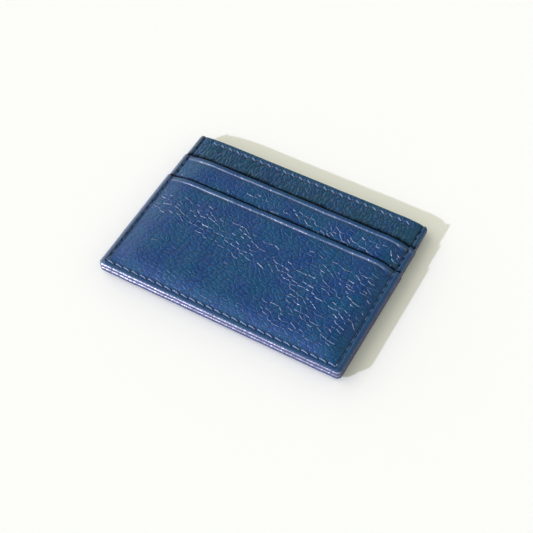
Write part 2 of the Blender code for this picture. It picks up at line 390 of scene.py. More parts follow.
def grain_share(x, y, lip, covered_from):
    """Where the pebbles show: 1 on open leather, less on the pressed rim and band, 0 where covered."""
    share = fade(STITCH_X - 0.6 * MM - np.abs(x), 1.6)
    share = share * fade(y + STITCH_Y - 0.5 * MM, 1.6)
    if lip < TOP:
        band = fade(lip - y - 1.9 * MM, 1.3)
    else:
        band = fade(STITCH_Y - y, 1.2)
    return (0.10 + 0.90 * share) * (0.18 + 0.82 * band) * uncovered(y, covered_from, 0.2 * MM)


def fold_share(x, y, part):
    """Where the long folds are: across the lower pocket and on its right, and low on the upper one."""
    if part == "body":
        return 0.0 * x
    inside = fade(STITCH_X - 0.4 * MM - np.abs(x), 1.2)
    if part == "upper":
        low_half = fade(UPPER_LIP - 3.8 * MM - y, 3.0)
        return low_half * inside * (0.25 + 0.75 * fade(x + 22.0 * MM, 18.0))
    middle = -6.0 * MM - 0.13 * x
    band = bell(y - middle, 10.0 * MM) * (1.0 + 0.25 * fade(10.0 * MM - x, 30.0))
    right = 0.88 * fade(x + 5.0 * MM, 30.0)
    below_lip = fade(LOWER_LIP - 4.5 * MM - y, 5.0)
    above_seam = fade(y + STITCH_Y - 1.0 * MM, 2.5)
    return below_lip * above_seam * inside * np.maximum(np.maximum(band, right), 0.10)


def wrinkle_share(x, y, part):
    """Where the upright wrinkles are: just below a pocket mouth, and all over the top strip."""
    if part == "body":
        return 1.0 + 0.0 * x
    below = LIPS[part] - y
    return 0.22 + 0.78 * fade(9.0 * MM - below, 5.0)


def shade_share(x, y, lip, covered_from):
    """Where painted shade darkens the leather: stitch holes, the side rows' groove, a lip's nose (its dark
    edge and painted shade together), and the groove at the next lip, as the painted shadow that lip casts.
    """
    wander = 1.0 + 0.25 * np.sin(x / (4.0 * MM)) + 0.15 * np.sin(x / (1.3 * MM))
    blotch = 0.65 + 0.35 * waves(x, y, 2.2 * MM, 9)
    # Painted shade in the side rows' groove, then at each stitch hole.
    share = side_row(x, y) * bell(np.abs(x) - STITCH_X, 0.36 * MM) * np.clip(blotch, 0.2, 1.0)
    rows = SEAM_STITCHES + (TOP_STITCHES if lip == TOP else [])
    ends = [end + (end - start) * past for start, end in rows for past in (0.0, 0.16)]
    share = np.maximum(share, spots(x, y, ends, 0.42 * MM, 1.4 * MM))
    # A lip's nose: its dark edge together with painted shade.
    if lip < TOP:
        share = np.maximum(share, fade(0.42 * MM - (lip - y), 0.34))
    # The painted shadow that the next lip casts on the strip just above it.
    if covered_from is not None:
        reach = (1.0 if lip == TOP else 0.55) * MM * wander * (1.0 + 0.3 * waves(x, y, 3.0 * MM, 14))
        past = np.maximum(y - covered_from - 0.55 * MM, 0.0)
        share = np.maximum(share, bell(past, np.maximum(reach, 0.2 * MM)))
    return share


# ---- meshes


def add_object(name, mesh, surface):
    """Links a mesh into the scene with its material."""
    made = bpy.data.objects.new(name, mesh)
    bpy.context.scene.collection.objects.link(made)
    mesh.materials.clear()
    mesh.materials.append(surface)
    return made


def new_mesh(name, points, faces):
    mesh = bpy.data.meshes.new(name)
    mesh.from_pydata(points, [], faces)
    mesh.update()
    mesh.shade_smooth()
    return mesh


def write_values(mesh, name, values):
    """Stores a number at each vertex, for the materials and the grain to read."""
    mesh.attributes.new(name, "FLOAT", "POINT").data.foreach_set("value", values.astype(np.float32))


def vertex_places(mesh):
    places = np.zeros(len(mesh.vertices) * 3)
    mesh.vertices.foreach_get("co", places)
    return places.reshape(-1, 3)


def spread(low, high, step):
    """Even steps from one value to another, both included."""
    return np.linspace(low, high, max(round((high - low) / step), 1) + 1)


def border(columns, rows):
    """Index pairs around a grid, anticlockwise, as four sides that share their corners."""
    wide, deep = len(columns), len(rows)
    return [
        [(i, 0) for i in range(wide)],
        [(wide - 1, j) for j in range(deep)],
        [(i, deep - 1) for i in range(wide - 1, -1, -1)],
        [(0, j) for j in range(deep - 1, -1, -1)],
    ]


def bridge(outer, inner, outer_at, inner_at):
    """Triangles between two rows of vertices whose positions along the side both increase."""
    faces, i, j = [], 0, 0
    while i < len(outer) - 1 or j < len(inner) - 1:
        take_outer = j == len(inner) - 1 or (i < len(outer) - 1 and outer_at[i + 1] <= inner_at[j + 1])
        if take_outer:
            faces.append((outer[i], inner[j], outer[i + 1]))
            i += 1
        else:
            faces.append((outer[i], inner[j], inner[j + 1]))
            j += 1
    return faces


def thin_out(values, every):
    """Every so-many-th value, away from both ends."""
    picked = list(range(every, len(values) - every, every))
    return picked or [len(values) // 2]


def quads(number):
    """The faces of a grid of vertex numbers."""
    corners = (number[:-1, :-1], number[:-1, 1:], number[1:, 1:], number[1:, :-1])
    return np.stack(corners, -1).reshape(-1, 4).tolist()


def sheet_mesh(name, half, columns, rows, place, outer_height, inner_height, marks, surface):
    """A closed sheet: a fine outer face, a wall, and a coarser inner face joined to it by a strip."""
    x, y = (part.ravel() for part in np.meshgrid(columns, rows))
    real_x, real_y = place(x, y)
    outer = np.stack([real_x, real_y, MIDDLE + SIDES[half] * outer_height(x, y)], 1)
    inner = np.stack([real_x, real_y, MIDDLE + SIDES[half] * inner_height(x, y)], 1)
    number = np.arange(len(x)).reshape(len(rows), len(columns))
    faces = quads(number)

    sides = border(columns, rows)
    loop = [pair for part in sides for pair in part[:-1]]
    edge_number = {pair: len(outer) + place_in for place_in, pair in enumerate(loop)}
    for pair, after in zip(loop, loop[1:] + loop[:1]):
        faces.append((number[after[::-1]], number[pair[::-1]], edge_number[pair], edge_number[after]))

    kept_columns = thin_out(columns, max(round(COARSE / (columns[1] - columns[0])), 1))
    kept_rows = thin_out(rows, max(round(COARSE / np.median(np.diff(rows))), 1))
    small = np.arange(len(kept_rows) * len(kept_columns)).reshape(len(kept_rows), len(kept_columns))
    small += len(outer) + len(loop)
    faces += [(a, d, c, b) for a, b, c, d in quads(small)]
    for way, (long_side, short_side) in enumerate(zip(sides, border(kept_columns, kept_rows))):
        axis = way % 2
        at, kept = (rows, kept_rows) if axis else (columns, kept_columns)
        sign = 1.0 if way < 2 else -1.0
        faces += bridge(
            [edge_number[pair] for pair in long_side],
            [small[pair[::-1]] for pair in short_side],
            [sign * at[pair[axis]] for pair in long_side],
            [sign * at[kept[pair[axis]]] for pair in short_side],
        )

    faces = [tuple(int(corner) for corner in face) for face in faces]
    if half == "back":
        faces = [face[::-1] for face in faces]
    hidden = np.concatenate([
        inner[[number[pair[::-1]] for pair in loop]],
        inner[number[np.ix_(kept_rows, kept_columns)].ravel()],
    ])
    mesh = new_mesh(name, np.concatenate([outer, hidden]).tolist(), faces)
    mesh.set_sharp_from_angle(angle=math.radians(60.0))
    rest = np.concatenate([np.stack([x, y, 0.0 * x], 1), hidden]) / MM
    attribute = mesh.attributes.new("rest", "FLOAT_VECTOR", "POINT")
    attribute.data.foreach_set("vector", rest.astype(np.float32).ravel())
    for mark, values in marks(x, y).items():
        write_values(mesh, mark, np.concatenate([values, np.zeros(len(hidden))]))
    return add_object(name, mesh, surface)


# ---- node helpers


class Graph:
    """Adds and joins nodes. Shader and geometry trees both know the texture and maths nodes used here."""

    def __init__(self, tree):
        self.tree = tree

    def add(self, kind, settings=None, **inputs):
        node = self.tree.nodes.new(kind)
        for key, value in (settings or {}).items():
            setattr(node, key, value)
        for key, value in inputs.items():
            self.feed(node.inputs[key.replace("_", " ")], value)
        return node

    def feed(self, socket, value):
        if isinstance(value, bpy.types.NodeSocket):
            self.tree.links.new(value, socket)
        else:
            socket.default_value = value

    def in_order(self, kind, settings, values):
        """A node whose inputs are fed in their own order."""
        node = self.add(kind, settings)
        for socket, value in zip(node.inputs, values):
            self.feed(socket, value)
        return node

    def math(self, operation, *values):
        return self.in_order("ShaderNodeMath", {"operation": operation}, values).outputs[0]

    def times(self, first, *others):
        for other in others:
            first = self.math("MULTIPLY", first, other)
        return first

    def vector(self, operation, *values):
        return self.in_order("ShaderNodeVectorMath", {"operation": operation}, values).outputs[0]

    def dot(self, *values):
        return self.in_order("ShaderNodeVectorMath", {"operation": "DOT_PRODUCT"}, values).outputs["Value"]

    def ramp(self, value, low, high, to_low=0.0, to_high=1.0, kind="SMOOTHSTEP"):
        values = (value, low, high, to_low, to_high)
        return self.in_order("ShaderNodeMapRange", {"interpolation_type": kind}, values).outputs[0]

    def noise(self, vector, scale, detail=2.0, rough=0.5):
        node = self.add("ShaderNodeTexNoise", Vector=vector, Scale=scale, Detail=detail, Roughness=rough)
        return node.outputs[0]

    def offset(self, vector, scale, detail, amount):
        """A smooth random shift of a place."""
        noise = self.add("ShaderNodeTexNoise", Vector=vector, Scale=scale, Detail=detail)
        centred = self.vector("SUBTRACT", noise.outputs[1], (0.5, 0.5, 0.5))
        scaled = self.add("ShaderNodeVectorMath", {"operation": "SCALE"}, Vector=centred, Scale=amount)
        return scaled.outputs[0]

    def parts(self, vector):
        return self.add("ShaderNodeSeparateXYZ", Vector=vector).outputs

    def joined(self, x, y, z):
        return self.add("ShaderNodeCombineXYZ", X=x, Y=y, Z=z).outputs[0]

    def turned(self, vector, degrees):
        """A place turned about the upright axis."""
        settings = {"rotation_type": "Z_AXIS"}
        turn = math.radians(degrees)
        return self.add("ShaderNodeVectorRotate", settings, Vector=vector, Angle=turn).outputs[0]

    def mix_colour(self, share, first, second, blend="MIX"):
        node = self.add("ShaderNodeMix", {"data_type": "RGBA", "blend_type": blend})
        for place, value in ((0, share), (6, first), (7, second)):
            self.feed(node.inputs[place], value)
        return node.outputs[2]


CELL_RANDOM = 0.92


def voronoi(graph, place, feature, scale):
    settings = {"voronoi_dimensions": "2D", "feature": feature}
    node = graph.add("ShaderNodeTexVoronoi", settings, Vector=place, Randomness=CELL_RANDOM, Scale=scale)
    return node.outputs


def cells(graph, place, look):
    """Pebble cells: distance to the cell's edge, middles of this cell and the next one, cell space."""
    wide, deep = look["cell"]
    offset = (look["seed"] * 7.31, look["seed"] * 3.17, 0.0)
    shrunk = graph.vector("MULTIPLY", graph.turned(place, look["turn"]), (1.0 / wide, 1.0 / deep, 0.0))
    moved = graph.vector("ADD", shrunk, offset)
    middles = []
    for feature in ("F1", "F2"):
        middle = graph.vector("SUBTRACT", voronoi(graph, moved, feature, 1.0)["Position"], offset)
        middle = graph.vector("MULTIPLY", middle, (wide, deep, 0.0))
        middles.append(graph.turned(middle, -look["turn"]))
    edge = voronoi(graph, moved, "DISTANCE_TO_EDGE", 1.0)["Distance"]
    return edge, middles[0], middles[1], moved


def strip_number(graph, place, family, seed):
    """Which of a family of wandering strips a place is in. The strips run side by side at an angle."""
    turn, spacing, _, bow = family
    run, cross, _ = graph.parts(graph.turned(place, -turn))
    slow = graph.joined(graph.times(run, 0.5), cross, seed * 4.7)
    sway = graph.math("SUBTRACT", graph.noise(slow, 0.17, 1.0), 0.5)
    bowed = graph.math("MULTIPLY_ADD", graph.times(run, run), bow, cross)
    swayed = graph.math("MULTIPLY_ADD", sway, 5.0, bowed)
    return graph.math("FLOOR", graph.math("DIVIDE", swayed, spacing))


def chain(graph, own, beside, rest, family, seed, share):
    """Cell edges between two strips: long creases that follow the pebbles, broken into dashes."""
    turn, _, gaps, _ = family
    here = strip_number(graph, own, family, seed)
    there = strip_number(graph, beside, family, seed)
    between = graph.math("GREATER_THAN", here, graph.math("ADD", there, 0.5))
    run = graph.parts(graph.turned(own, -turn))[0]
    rank = graph.math("MULTIPLY_ADD", here, 17.3, seed * 9.1)
    stir = graph.noise(graph.joined(run, rank, rank), 0.13, 2.0, 0.6)
    lively = graph.math("MULTIPLY_ADD", graph.math("SUBTRACT", share, 1.0), 0.28, stir)
    dash = graph.ramp(lively, gaps, gaps + 0.07)
    thin = graph.ramp(graph.noise(rest, 0.8, 2.0), 0.34, 0.54, 0.60, 1.0)
    return graph.times(between, dash, thin)


# A family of creases: direction in degrees, spacing in mm, how broken it is, and its bow per mm
FOLDS = (-7.0, 2.0, 0.44, 0.0026)
STEEP_FOLDS = (-22.0, 3.2, 0.46, 0.0015)
WRINKLES = (-98.0, 2.4, 0.38, 0.0)
PEBBLE_REACH = 0.42


def grain_height(graph, rest, shares, look):
    """Height of the leather grain in mm at a place in mm, with the shares of painted shade at each wall's
    foot and painted highlight on the fold walls.

    Each pebble overlaps its lower neighbour like a scale: a short wall at their shared edge, lit from
    the front, and a long gentle apron behind it. Folds and wrinkles are chains of deeper walls.
    """
    folds, wrinkles = shares
    wander = graph.offset(rest, 0.085, 1.0, look["drift"])
    shake = graph.offset(rest, 0.7, 2.0, look["shake"])
    bent = graph.vector("ADD", graph.vector("ADD", rest, shake), wander)
    edge, own, beside, moved = cells(graph, bent, look)
    apart = graph.vector("NORMALIZE", graph.vector("SUBTRACT", own, beside))
    facing = graph.dot(apart, look["lean"])
    upper = graph.ramp(facing, -0.15, 0.6)
    patch = graph.ramp(graph.noise(rest, 0.45, 3.0, 0.65), 0.36, 0.62, 0.15, 1.0)
    net = graph.times(upper, patch)
    steep = graph.times(folds, graph.ramp(graph.parts(rest)[0], -14.0, 16.0))
    fold = graph.math(
        "MAXIMUM",
        chain(graph, own, beside, rest, FOLDS, look["seed"], folds),
        chain(graph, own, beside, rest, STEEP_FOLDS, look["seed"] + 5.0, steep),
    )
    fold = graph.times(fold, graph.ramp(facing, 0.0, 0.6, 0.4, 1.0))
    wrinkle = chain(graph, own, beside, rest, WRINKLES, look["seed"] + 2.0, wrinkles)
    step = graph.times(net, look["net_depth"])
    step = graph.math("MAXIMUM", step, graph.times(fold, look["fold_depth"]))
    step = graph.math("MAXIMUM", step, graph.times(wrinkle, look["wrinkle_depth"]))
    wall = graph.ramp(edge, 0.0, look["wall"], 0.0, 1.0, "LINEAR")
    apron = graph.ramp(edge, look["wall"], PEBBLE_REACH, 1.0, 0.0)
    total = graph.times(wall, apron, step)
    total = graph.math("MULTIPLY_ADD", graph.ramp(edge, 0.0, PEBBLE_REACH), look["dome_depth"], total)
    grit = graph.noise(rest, 5.5, 3.0, 0.65)
    total = graph.math("MULTIPLY_ADD", grit, look["grit_depth"], total)
    # Painted shade: the foot on the low side of each wall, which faces away from the light, is darkened in
    # the material.
    low_side = graph.ramp(edge, 0.0, 1.5 * look["wall"], 1.0, 0.0)
    foot = graph.times(low_side, graph.math("SUBTRACT", 1.0, upper))
    foot = graph.times(foot, graph.math("MULTIPLY_ADD", patch, 0.6, 0.4))
    # Painted highlight: the fold walls that face the light are lightened in the material's colour.
    shine = graph.times(fold, graph.ramp(edge, look["wall"], 1.3 * look["wall"], 1.0, 0.0))
    shine = graph.times(shine, graph.ramp(facing, 0.30, 0.85))
    return graph.math("SUBTRACT", total, look["sink"]), foot, shine, moved


def press_grain(made, look, side):
    """Moves the outer face of a leather sheet by a softer form of the grain that its material bumps."""
    tree = bpy.data.node_groups.new("press_grain", "GeometryNodeTree")
    for way in ("INPUT", "OUTPUT"):
        tree.interface.new_socket("Geometry", in_out=way, socket_type="NodeSocketGeometry")
    graph = Graph(tree)

    def named(name, kind):
        node = graph.add("GeometryNodeInputNamedAttribute", {"data_type": kind}, Name=name)
        return node.outputs["Attribute"]

    soft = dict(look, wall=look["wall"] * 2.4, grit_depth=0.0)
    for depth, share in (("net_depth", 0.5), ("fold_depth", 0.40), ("wrinkle_depth", 0.50)):
        soft[depth] = look[depth] * share
    shares = (named("fold", "FLOAT"), named("wrinkle", "FLOAT"))
    height = grain_height(graph, named("rest", "FLOAT_VECTOR"), shares, soft)[0]
    amount = graph.times(height, named("grain", "FLOAT"))
    upward = graph.joined(0.0, 0.0, graph.times(amount, MM * side))
    sheet = graph.add("NodeGroupInput").outputs[0]
    pressed = graph.add("GeometryNodeSetPosition", Geometry=sheet, Offset=upward).outputs[0]
    tree.links.new(pressed, graph.add("NodeGroupOutput").inputs[0])
    made.modifiers.new("press_grain", "NODES").node_group = tree
    evaluated = made.evaluated_get(bpy.context.evaluated_depsgraph_get())
    old = made.data
    made.data = bpy.data.meshes.new_from_object(evaluated)
    made.modifiers.clear()
    bpy.data.meshes.remove(old)
    bpy.data.node_groups.remove(tree)


# ---- materials


# The colour of the painted highlight on fold walls and glossy places.
PAINTED_HIGHLIGHT_BLUE = (0.200, 0.250, 0.440, 1.0)
# The colour of the painted shade at the crease feet.
CREASE_SHADE_NAVY = (0.008, 0.020, 0.055, 1.0)
RIM_NAVY = (0.012, 0.045, 0.095, 1.0)
# Near black: the colour of painted shade.
PAINTED_SHADE_NAVY = (0.0012, 0.0025, 0.007, 1.0)


def new_material(name):
    made = bpy.data.materials.new(name)
    made.use_nodes = True
    return made, Graph(made.node_tree), made.node_tree.nodes["Principled BSDF"].inputs


def stored(graph, name):
    """A number or vector that the mesh keeps at each vertex."""
    outputs = graph.add("ShaderNodeAttribute", {"attribute_name": name}).outputs
    return outputs["Vector"] if name == "rest" else outputs["Fac"]


def varied(graph, place, scale, detail, rough, low=0.0, high=1.0):
    """A smooth patchiness between two values."""
    return graph.ramp(graph.noise(place, scale, detail, rough), 0.3, 0.7, low, high)


def surface_of(graph, inputs, height, **values):
    """Feeds a surface's inputs by name, and its bump from a height in metres."""
    values["Normal"] = graph.add("ShaderNodeBump", Height=height, Distance=1.0).outputs[0]
    for key, value in values.items():
        graph.feed(inputs[key.replace("_", " ")], value)


def leather_material(name, look):
    """Full-grain leather: cell-wise colour, painted shade at the creases' feet, fold walls painted pale as
    a highlight, glossier lips and rims that are also painted lighter as a highlight, and painted shade
    where the shade mark is.
    """
    made, graph, inputs = new_material(name)
    rest, grain, shade, polish = (stored(graph, mark) for mark in ("rest", "grain", "shade", "polish"))
    shares = (stored(graph, "fold"), stored(graph, "wrinkle"))
    height, foot, shine, moved = grain_height(graph, rest, shares, look)
    patches = graph.ramp(graph.noise(rest, 0.09, 3.0, 0.65), 0.38, 0.62)
    colour = graph.mix_colour(patches, look["colour"], look["colour_two"])
    tone = graph.math("MULTIPLY_ADD", voronoi(graph, moved, "F1", 5.0)["Color"], 0.30, 0.85)
    colour = graph.mix_colour(1.0, colour, tone, "MULTIPLY")
    speckle = graph.ramp(graph.noise(rest, 1.9, 4.0, 0.75), 0.32, 0.68, 0.50, 1.50, "LINEAR")
    colour = graph.mix_colour(1.0, colour, speckle, "MULTIPLY")
    # Painted shade at the crease feet.
    hollow = graph.times(foot, grain, look["foot_dark"])
    colour = graph.mix_colour(hollow, colour, CREASE_SHADE_NAVY)
    # Painted highlight: fold walls and glossy places mixed towards a pale blue.
    pale = graph.math("MAXIMUM", graph.times(shine, 0.70), graph.times(polish, 0.35))
    colour = graph.mix_colour(pale, colour, PAINTED_HIGHLIGHT_BLUE)
    colour = graph.mix_colour(graph.ramp(grain, 0.0, 0.6, look["rim_dark"], 0.0), colour, RIM_NAVY)
    # Painted shade: near black where the shade mark is, with less gloss there.
    colour = graph.mix_colour(graph.times(shade, 0.93), colour, PAINTED_SHADE_NAVY)
    rubbed = graph.math("MAXIMUM", shine, polish)
    gloss = graph.math("MULTIPLY_ADD", rubbed, 1.0 - look["specular"], look["specular"])
    strength = graph.times(graph.ramp(grain, 0.0, 1.0, 0.25, 1.0), MM)
    surface_of(
        graph, inputs, graph.times(height, strength),
        Base_Color=colour,
        Roughness=varied(graph, rest, 1.6, 3.0, 0.6, look["rough"] - 0.06, look["rough"] + 0.08),
        Specular_IOR_Level=graph.times(gloss, graph.ramp(shade, 0.0, 1.0, 1.0, 0.1)),
    )
    return made


def lining_material():
    """A thin plain weave, dark navy."""
    made, graph, inputs = new_material("lining_weave")
    place = graph.add("ShaderNodeTexCoord").outputs["Object"]
    yarn = 1900.0
    warp, weft = (
        graph.add("ShaderNodeTexWave", {"bands_direction": way}, Vector=place, Scale=yarn, Distortion=0.6)
        for way in ("X", "Y")
    )
    weave = graph.math("MAXIMUM", warp.outputs["Fac"], weft.outputs["Fac"])
    tone = varied(graph, place, 260.0, 3.0, 0.6)
    colour = graph.mix_colour(tone, (0.013, 0.022, 0.050, 1.0), (0.026, 0.040, 0.085, 1.0))
    rough = graph.ramp(weave, 0.0, 1.0, 0.9, 0.7)
    height = graph.times(weave, 0.04 * MM)
    surface_of(graph, inputs, height, Base_Color=colour, Roughness=rough, Sheen_Weight=0.2)
    return made


def board_material():
    """Grey-brown bonded fibre board."""
    made, graph, inputs = new_material("fibre_board")
    place = graph.add("ShaderNodeTexCoord").outputs["Object"]
    fibre = graph.noise(graph.vector("MULTIPLY", place, (1.0, 3.0, 1.0)), 900.0, 4.0, 0.7)
    tone = graph.ramp(fibre, 0.3, 0.7)
    colour = graph.mix_colour(tone, (0.24, 0.19, 0.13, 1.0), (0.42, 0.35, 0.26, 1.0))
    surface_of(graph, inputs, graph.times(fibre, 0.05 * MM), Base_Color=colour, Roughness=0.92)
    return made


def paint_material():
    """Edge paint: a glossy navy coat with brush unevenness, glossier along its ridges and painted lighter
    there as a highlight, mostly on the side facing the light.
    """
    made, graph, inputs = new_material("edge_paint_gloss")
    place = graph.add("ShaderNodeTexCoord").outputs["Object"]
    tone = varied(graph, place, 240.0, 3.0, 0.6)
    colour = graph.mix_colour(tone, (0.004, 0.016, 0.090, 1.0), (0.009, 0.028, 0.150, 1.0))
    # Painted highlight: the ridge lines are mixed towards pale lavender, broken up by noise.
    broken = graph.ramp(graph.noise(place, 900.0, 3.0, 0.65), 0.32, 0.60, 0.35, 1.0)
    ridge = graph.times(stored(graph, "ridge_highlight"), broken)
    colour = graph.mix_colour(graph.times(ridge, 0.9), colour, (0.330, 0.340, 0.500, 1.0))
    coarse = graph.noise(place, 800.0, 2.0, 0.5)
    fine = graph.noise(place, 2600.0, 2.0, 0.6)
    surface_of(
        graph, inputs, graph.times(graph.math("MULTIPLY_ADD", fine, 0.08, coarse), 0.20 * MM),
        Base_Color=colour,
        Roughness=varied(graph, place, 700.0, 3.0, 0.6, 0.26, 0.34),
        Specular_IOR_Level=graph.ramp(ridge, 0.0, 0.8, 0.45, 1.0),
        Coat_Weight=graph.ramp(ridge, 0.0, 0.8, 0.05, 1.0),
        Coat_Roughness=0.16,
    )
    return made


def thread_material():
    """Waxed two-ply thread: the plies are a fine slanted wave along it."""
    made, graph, inputs = new_material("waxed_thread")
    place = graph.add("ShaderNodeTexCoord").outputs["Object"]
    diagonal = {"bands_direction": "DIAGONAL"}
    wave = graph.add("ShaderNodeTexWave", diagonal, Vector=place, Scale=620.0, Distortion=1.0)
    twist = wave.outputs["Fac"]
    colour = graph.mix_colour(twist, (0.070, 0.120, 0.280, 1.0), (0.220, 0.310, 0.560, 1.0))
    # Painted shade: thread in the side rows' groove is darkened towards near black, with less gloss.
    groove_breakup = graph.ramp(graph.noise(place, 330.0, 2.0, 0.5), 0.35, 0.65, 0.45, 0.95)
    groove_shade = graph.times(stored(graph, "groove_shade"), groove_breakup)
    colour = graph.mix_colour(groove_shade, colour, (0.012, 0.022, 0.055, 1.0))
    surface_of(
        graph, inputs, graph.times(twist, 0.06 * MM),
        Base_Color=colour,
        Specular_IOR_Level=graph.ramp(groove_shade, 0.0, 1.0, 0.5, 0.15),
        Roughness=0.42,
        Sheen_Weight=0.15,
    )
    return made


# ---- how each piece is held in place

MOVING_BODIES = {
    ("front", "body"): "front_half",
    ("front", "upper"): "front_upper",
    ("front", "lower"): "front_lower",
    ("back", "upper"): "back_upper",
    ("back", "lower"): "back_lower",
}


def follow(made, half, part):
    """Fixes a piece to the holder where no mouth moves it; on a moving mouth it only bakes the piece's
    transform into its mesh.
    """
    if (half, part) not in MOVING_BODIES:
        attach(made, "holder")
        return
    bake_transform(made)
    x, y, _ = vertex_places(made.data).T


def stand_in(made, node, half=None, part=None):
    """Shows a piece in place of its frame node. Without a half and part it is fixed to the holder."""
    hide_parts(node)
    follow(made, half, part)


# ---- the sheets

# Cells, drifts and depths in mm, a wall's width as a share of a cell; lean is the way the walls face
BASE_LOOK = {
    "cell": (2.8, 1.6), "turn": 9.0, "seed": 1.0, "drift": 3.0, "shake": 0.62, "lean": (0.35, 0.94, 0.0),
    "wall": 0.135, "net_depth": 0.13, "fold_depth": 0.30, "wrinkle_depth": 0.18, "sink": 0.08,
    "dome_depth": 0.045, "grit_depth": 0.045,
    "colour": (0.006, 0.070, 0.178, 1.0), "colour_two": (0.008, 0.052, 0.192, 1.0),
    "foot_dark": 0.9, "rim_dark": 0.45, "rough": 0.34, "specular": 0.28,
}
LOOKS = {
    "lower": BASE_LOOK,
    "upper": dict(BASE_LOOK, cell=(2.3, 1.8), turn=8.0, seed=4.0, lean=(0.55, 0.83, 0.0)),
    "body": dict(
        BASE_LOOK, cell=(1.5, 3.4), turn=-4.0, seed=3.0, lean=(0.97, 0.25, 0.0), shake=0.6,
        net_depth=0.24, wrinkle_depth=0.28, dome_depth=0.13, foot_dark=1.0,
        colour=(0.009, 0.068, 0.135, 1.0), colour_two=(0.009, 0.058, 0.162, 1.0),
    ),
}


def board_area(half, x, y):
    """1 over the board of a half, falling to 0 within a short way outside it."""
    low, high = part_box(f"{half}_board")
    edges = (x - low.x, high.x - x, y - low.y, high.y - y)
    return math.prod(fade(edge + 1.0 * MM, 1.6) for edge in edges)


def leather_grid(half, part):
    """Grid lines of a leather panel: fine where it shows, finest at a lip, coarse where hidden."""
    lip = LIPS[part]
    covered = COVERED_FROM[part]
    fine = FINE if half == "front" else 1.5 * FINE
    columns = spread(-HALF_WIDTH, HALF_WIDTH, fine)
    if covered is None:
        rows = spread(BOTTOM, lip, fine)
    else:
        hidden = covered - 1.0 * MM
        rows = np.concatenate([spread(BOTTOM, hidden, 1.5 * MM)[:-1], spread(hidden, lip, fine)])
    if part != "body":
        rows = np.concatenate([rows[rows < lip - LIP_ZONE], spread(lip - LIP_ZONE, lip, LIP_FINE)])
    return columns, rows


def leather_sheet(half, part):
    """One leather panel with its lip, stitch channels and pressed grain."""
    node = "body_panel" if part == "body" else f"{part}_pocket"
    inner, outer = sheet_span(half, node)
    rise = RISES[half]
    lip = LIPS[part]
    covered = COVERED_FROM[part]
    extra = {"body": BODY_EXTRA, "upper": UPPER_EXTRA, "lower": 0.0}[part]

    def top(x, y):
        detail = -stitch_marks(x, y, part == "body")
        if part != "body":
            detail = detail + lip_shape(x, lip - y)
        detail = detail + extra
        edge = np.minimum(HALF_WIDTH - np.abs(x), y - BOTTOM)
        if part == "body":
            edge = np.minimum(edge, TOP - y)
        detail = detail - EDGE_DROP * quarter_round(clamp(1.0 - edge / EDGE_ROUND))
        height = outer + rise(x, y) + detail * uncovered(y, covered, 0.1 * MM)
        return height if half == "front" else np.minimum(height, HALF_SEAM + BACK_FULL_RISE)

    def under(x, y):
        recess = board_area(half, x, y) * BOARD_ROOM if part == "body" else 0.0
        return inner + rise(x, y) + recess

    def place(x, y):
        return on_outline(x, y, part == "body")

    def marks(x, y):
        shown = uncovered(y, covered, 0.2 * MM)
        return {
            "grain": grain_share(x, y, lip, covered),
            "fold": fold_share(x, y, part) * shown,
            "wrinkle": wrinkle_share(x, y, part) * shown,
            "shade": shade_share(x, y, lip, covered),
            "polish": gloss_and_highlight_share(x, y, lip),
        }

    name = f"{half}_{part}_leather"
    surface = leather_material(name, LOOKS[part])
    made = sheet_mesh(name, half, *leather_grid(half, part), place, top, under, marks, surface)
    press_grain(made, LOOKS[part], SIDES[half])
    stand_in(made, f"{half}_{node}", half, part)


def no_marks(x, y):
    return {}


def lining_sheet(half, part, surface):
    """A lining, parallel to the leather above it."""
    node = "body_lining" if part == "body" else f"{part}_pocket_lining"
    inner, outer = sheet_span(half, node)
    rise = RISES[half]
    columns = spread(-HALF_WIDTH + 0.1 * MM, HALF_WIDTH - 0.1 * MM, 1.2 * MM)
    rows = spread(BOTTOM + 0.1 * MM, LIPS[part] - 0.25 * MM, 1.2 * MM)
    made = sheet_mesh(
        f"{half}_{part}_lining_cloth", half, columns, rows,
        lambda x, y: on_outline(x, y, part == "body"),
        lambda x, y: outer + rise(x, y),
        lambda x, y: inner + rise(x, y),
        no_marks, surface,
    )
    stand_in(made, f"{half}_{node}", half, part)


def board_sheet(half, surface):
    """The stiffener, inside the sewn margins, let into the underside of the leather."""
    low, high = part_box(f"{half}_board")
    rise = RISES[half]
    inner = sheet_span(half, "body_panel")[0]
    inset = 2.0 * MM
    made = sheet_mesh(
        f"{half}_fibre_board", half,
        spread(low.x + inset, high.x - inset, 1.5 * MM),
        spread(low.y + inset, high.y - inset, 1.5 * MM),
        lambda x, y: (x, y),
        lambda x, y: inner + rise(x, y) + BOARD_ROOM - 0.03 * MM,
        lambda x, y: inner + rise(x, y) - 0.01 * MM,
        no_marks, surface,
    )
    stand_in(made, f"{half}_board", half, "body")


# ---- edges and threads


def outline_path(step):
    """Points around the leather outline, anticlockwise, with the grid place each one came from."""
    columns = spread(-HALF_WIDTH, HALF_WIDTH, step)
    rows = spread(BOTTOM, TOP, step)
    near = CORNER * np.array([0.0, 0.18, 0.36, 0.55, 0.75])
    columns = np.unique(np.concatenate([columns, HALF_WIDTH - near, near - HALF_WIDTH]).round(7))
    rows = np.unique(np.concatenate([rows, TOP - near, BOTTOM + near]).round(7))
    loop = [(columns[i], rows[j]) for part in border(columns, rows) for i, j in part[:-1]]
    x, y = np.array(loop).T
    real_x, real_y = on_outline(x, y, True)
    return x, y, real_x, real_y


